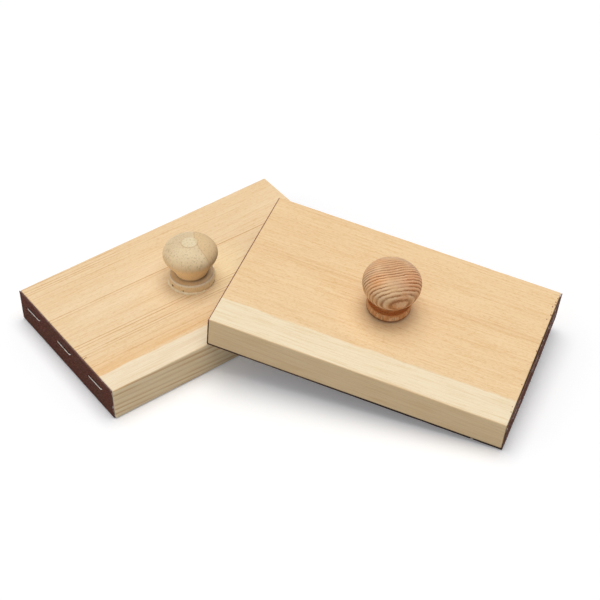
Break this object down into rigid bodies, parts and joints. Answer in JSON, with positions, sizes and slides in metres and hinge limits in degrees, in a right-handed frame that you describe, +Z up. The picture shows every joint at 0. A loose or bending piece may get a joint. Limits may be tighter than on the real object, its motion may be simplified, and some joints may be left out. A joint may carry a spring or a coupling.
{
  "type": "sand block pair",
  "caption": "Matching wooden sand blocks: pine boards with turned knobs on top and abrasive paper folded under them and stapled to the ends, to rub together as percussion.",
  "frame": {"origin": "middle of the flat block's abrasive underside, on the surface that the pair stands on", "axes": "+X along the flat block's length, +Y from its front, where the other block leans, to its back, +Z up"},
  "size_m": [0.2126, 0.2194, 0.0582],
  "materials": {
    "pine_board": "planed, unvarnished",
    "abrasive_paper": "coarse grit",
    "pale_knob_wood": "turned, unvarnished",
    "ringed_knob_wood": "turned, unvarnished",
    "staple_wire": "drawn wire",
    "screw_steel": "zinc plated"
  },
  "bodies": {
    "flat_block": {"flat_board": "pine_board", "flat_abrasive_sheet": "abrasive_paper", "flat_knob": "pale_knob_wood", "flat_knob_screw": "screw_steel", "flat_staple_left_front": "staple_wire", "flat_staple_left_middle": "staple_wire", "flat_staple_left_back": "staple_wire", "flat_staple_right_front": "staple_wire", "flat_staple_right_middle": "staple_wire", "flat_staple_right_back": "staple_wire"},
    "leaning_block": {"leaning_board": "pine_board", "leaning_abrasive_sheet": "abrasive_paper", "leaning_knob": "ringed_knob_wood", "leaning_knob_screw": "screw_steel", "leaning_staple_left_front": "staple_wire", "leaning_staple_left_middle": "staple_wire", "leaning_staple_left_back": "staple_wire", "leaning_staple_right_front": "staple_wire", "leaning_staple_right_middle": "staple_wire", "leaning_staple_right_back": "staple_wire"}
  },
  "joints": [
    {"name": "leaning_block_lift", "type": "slide", "parent": "flat_block", "child": "leaning_block", "axis": [0, 0, 1], "range_m": [0, 0.08]}
  ]
}
